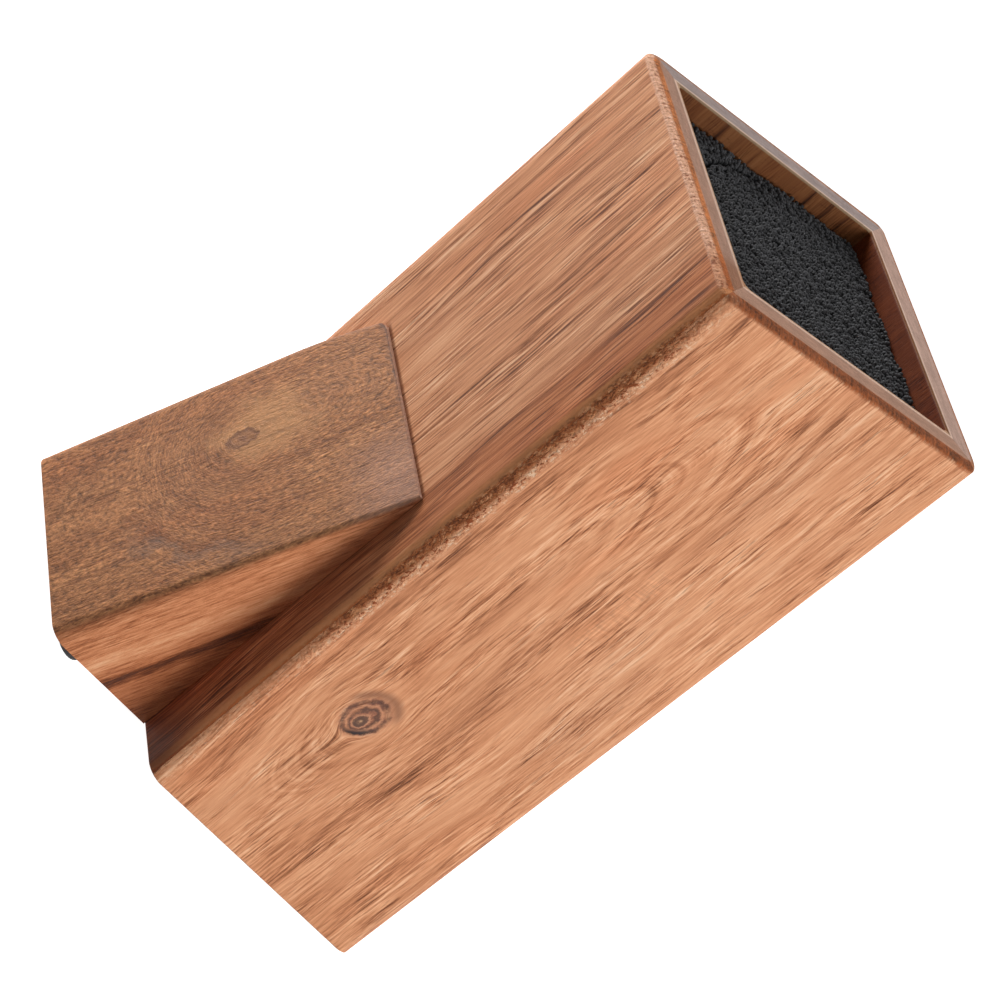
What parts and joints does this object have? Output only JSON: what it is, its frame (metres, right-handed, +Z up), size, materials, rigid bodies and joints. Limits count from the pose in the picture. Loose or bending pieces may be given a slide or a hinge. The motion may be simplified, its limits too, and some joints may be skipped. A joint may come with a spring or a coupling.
{
  "type": "knife block",
  "caption": "Wooden knife block: a hollow square tube leaning over a wedge foot, holding a lift-out insert of upright black bristle rods that grips blades of any shape",
  "frame": {"origin": "middle of the bounding box in X and Y, on the surface the block stands on", "axes": "+Z up; +X to the right seen from the front, square to the tube's sides; -Y is the front, where the foot stands and towards which the tube leans"},
  "size_m": [0.105, 0.1662, 0.237],
  "materials": {
    "acacia": "oiled, satin",
    "acacia_foot": "oiled, matt",
    "beech_dowel": "bare",
    "black_rubber": "matt",
    "black_bristle": "satin"
  },
  "bodies": {
    "block": {"front_board": "acacia", "right_board": "acacia", "back_board": "acacia", "left_board": "acacia", "inner_base": "acacia", "support_foot": "acacia_foot", "foot_dowel_1": "beech_dowel", "foot_dowel_2": "beech_dowel", "pad_foot_left": "black_rubber", "pad_foot_right": "black_rubber", "pad_back_left": "black_rubber", "pad_back_right": "black_rubber"},
    "insert": {"insert_plate": "black_bristle", "bristles_main": "black_bristle", "bristles_corner": "black_bristle"}
  },
  "joints": [
    {"name": "insert_lift", "type": "slide", "parent": "block", "child": "insert", "axis": [0, -0.279, 0.9603], "range_m": [0, 0.21]}
  ]
}
